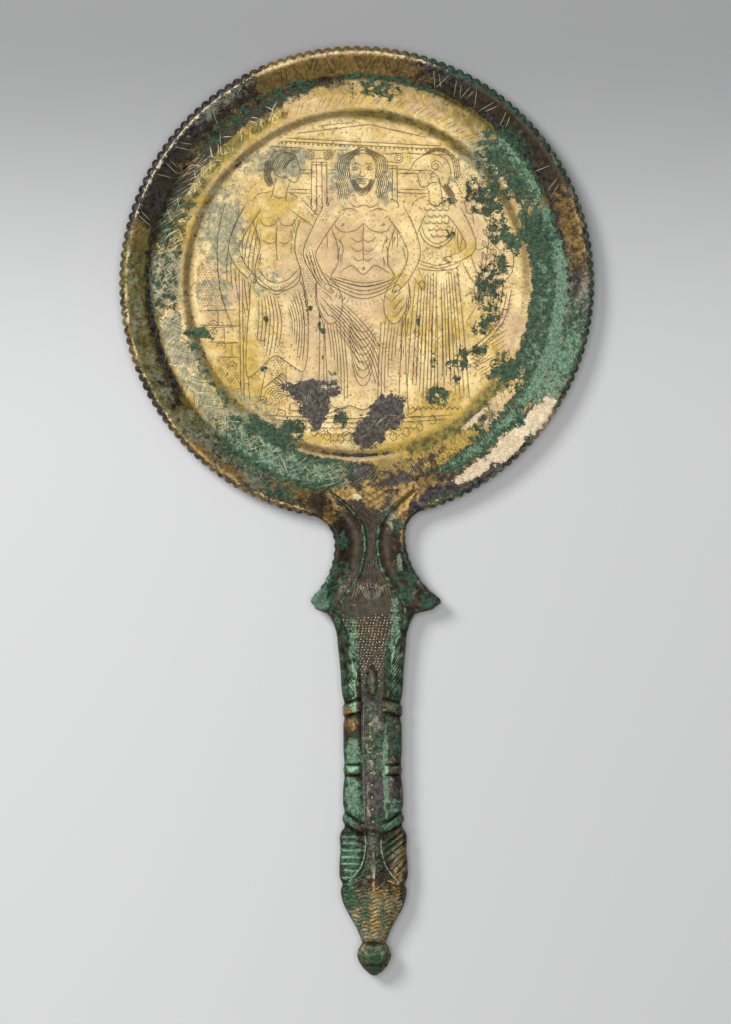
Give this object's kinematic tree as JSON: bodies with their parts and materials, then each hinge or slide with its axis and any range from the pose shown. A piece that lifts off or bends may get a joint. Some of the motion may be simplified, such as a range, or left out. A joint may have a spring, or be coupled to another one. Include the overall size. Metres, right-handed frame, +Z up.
{
  "type": "bronze hand mirror",
  "caption": "Cast bronze hand mirror: round dished disc with a beaded rim and engraved back, and a flat carved handle ending in a knob.",
  "frame": {"origin": "on the surface it lies on, under the middle of its whole length and width", "axes": "+Y along its length, from the handle's knob towards the disc; +Z up, out of the engraved back; +X to the right, the side to which the handle stands off centre"},
  "size_m": [0.1586, 0.31, 0.0106],
  "materials": {
    "bronze": "satin gold bronze under green, brown and black patina"
  },
  "bodies": {
    "root": {"mirror": "bronze"}
  },
  "joints": []
}
